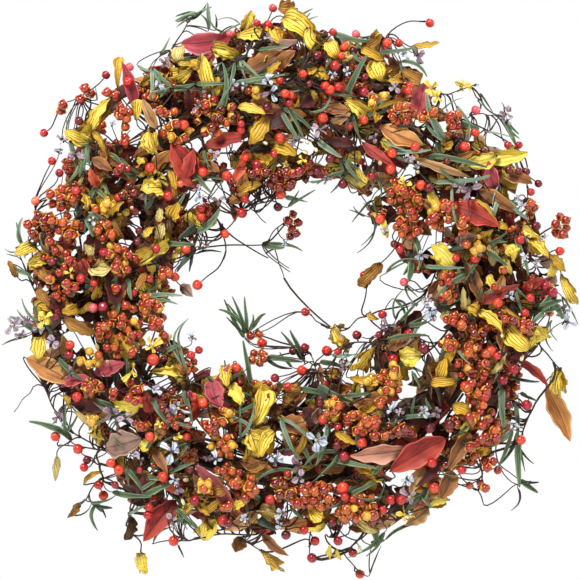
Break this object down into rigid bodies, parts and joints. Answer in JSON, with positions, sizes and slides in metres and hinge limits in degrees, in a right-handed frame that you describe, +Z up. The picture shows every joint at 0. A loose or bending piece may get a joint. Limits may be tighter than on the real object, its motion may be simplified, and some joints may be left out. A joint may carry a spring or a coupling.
{
  "type": "harvest door wreath",
  "caption": "Round artificial autumn wreath: twisted vine ring with wired sprays of berries, bittersweet, striped leaves and greenery, and a wire loop to hang it by.",
  "frame": {"origin": "where the nail or hook bears, inside the top of the hanging loop", "axes": "the wreath hangs in the XZ plane, its front faces -Y, its back lies against the door on the +Y side, +Z is up"},
  "size_m": [0.6002, 0.1207, 0.5799],
  "materials": {
    "vine_bark": "rough bark",
    "wire": "dull wire",
    "berries": "waxy gloss, orange-red to dark red",
    "bittersweet": "glossy red capsules with yellow-orange bracts",
    "leaves": "printed fabric leaves, red, brown and yellow",
    "greenery": "matt sage green blades"
  },
  "bodies": {
    "wreath": {"vine_strand_1": "vine_bark", "vine_strand_2": "vine_bark", "vine_strand_3": "vine_bark", "vine_strand_4": "vine_bark", "vine_strand_5": "vine_bark", "wrapping_vine": "vine_bark", "tie_wire_01": "wire", "tie_wire_02": "wire", "tie_wire_03": "wire", "tie_wire_04": "wire", "tie_wire_05": "wire", "tie_wire_06": "wire", "tie_wire_07": "wire", "tie_wire_08": "wire", "tie_wire_09": "wire", "tie_wire_10": "wire", "hanger_staple": "wire", "berry_spray_01": "berries", "berry_spray_02": "berries", "berry_spray_03": "berries", "berry_spray_04": "berries", "berry_spray_05": "berries", "berry_spray_06": "berries", "berry_spray_07": "berries", "berry_spray_08": "berries", "berry_spray_09": "berries", "berry_spray_10": "berries", "bittersweet_spray_01": "bittersweet", "bittersweet_spray_02": "bittersweet", "bittersweet_spray_03": "bittersweet", "bittersweet_spray_04": "bittersweet", "bittersweet_spray_05": "bittersweet", "bittersweet_spray_06": "bittersweet", "bittersweet_spray_07": "bittersweet", "bittersweet_spray_08": "bittersweet", "bittersweet_spray_09": "bittersweet", "bittersweet_spray_10": "bittersweet", "leaf_spray_01": "leaves", "leaf_spray_02": "leaves", "leaf_spray_03": "leaves", "leaf_spray_04": "leaves", "leaf_spray_05": "leaves", "leaf_spray_06": "leaves", "leaf_spray_07": "leaves", "leaf_spray_08": "leaves", "leaf_spray_09": "leaves", "leaf_spray_10": "leaves", "greenery_spray_01": "greenery", "greenery_spray_02": "greenery", "greenery_spray_03": "greenery", "greenery_spray_04": "greenery", "greenery_spray_05": "greenery", "greenery_spray_06": "greenery", "greenery_spray_07": "greenery", "greenery_spray_08": "greenery", "greenery_spray_09": "greenery", "greenery_spray_10": "greenery"},
    "loop": {"hanging_loop": "wire"}
  },
  "joints": [
    {"name": "loop_hinge", "type": "hinge", "parent": "wreath", "child": "loop", "pos_m": [0, 0, -0.024], "axis": [-1, 0, 0], "range_deg": [0, 160]}
  ]
}
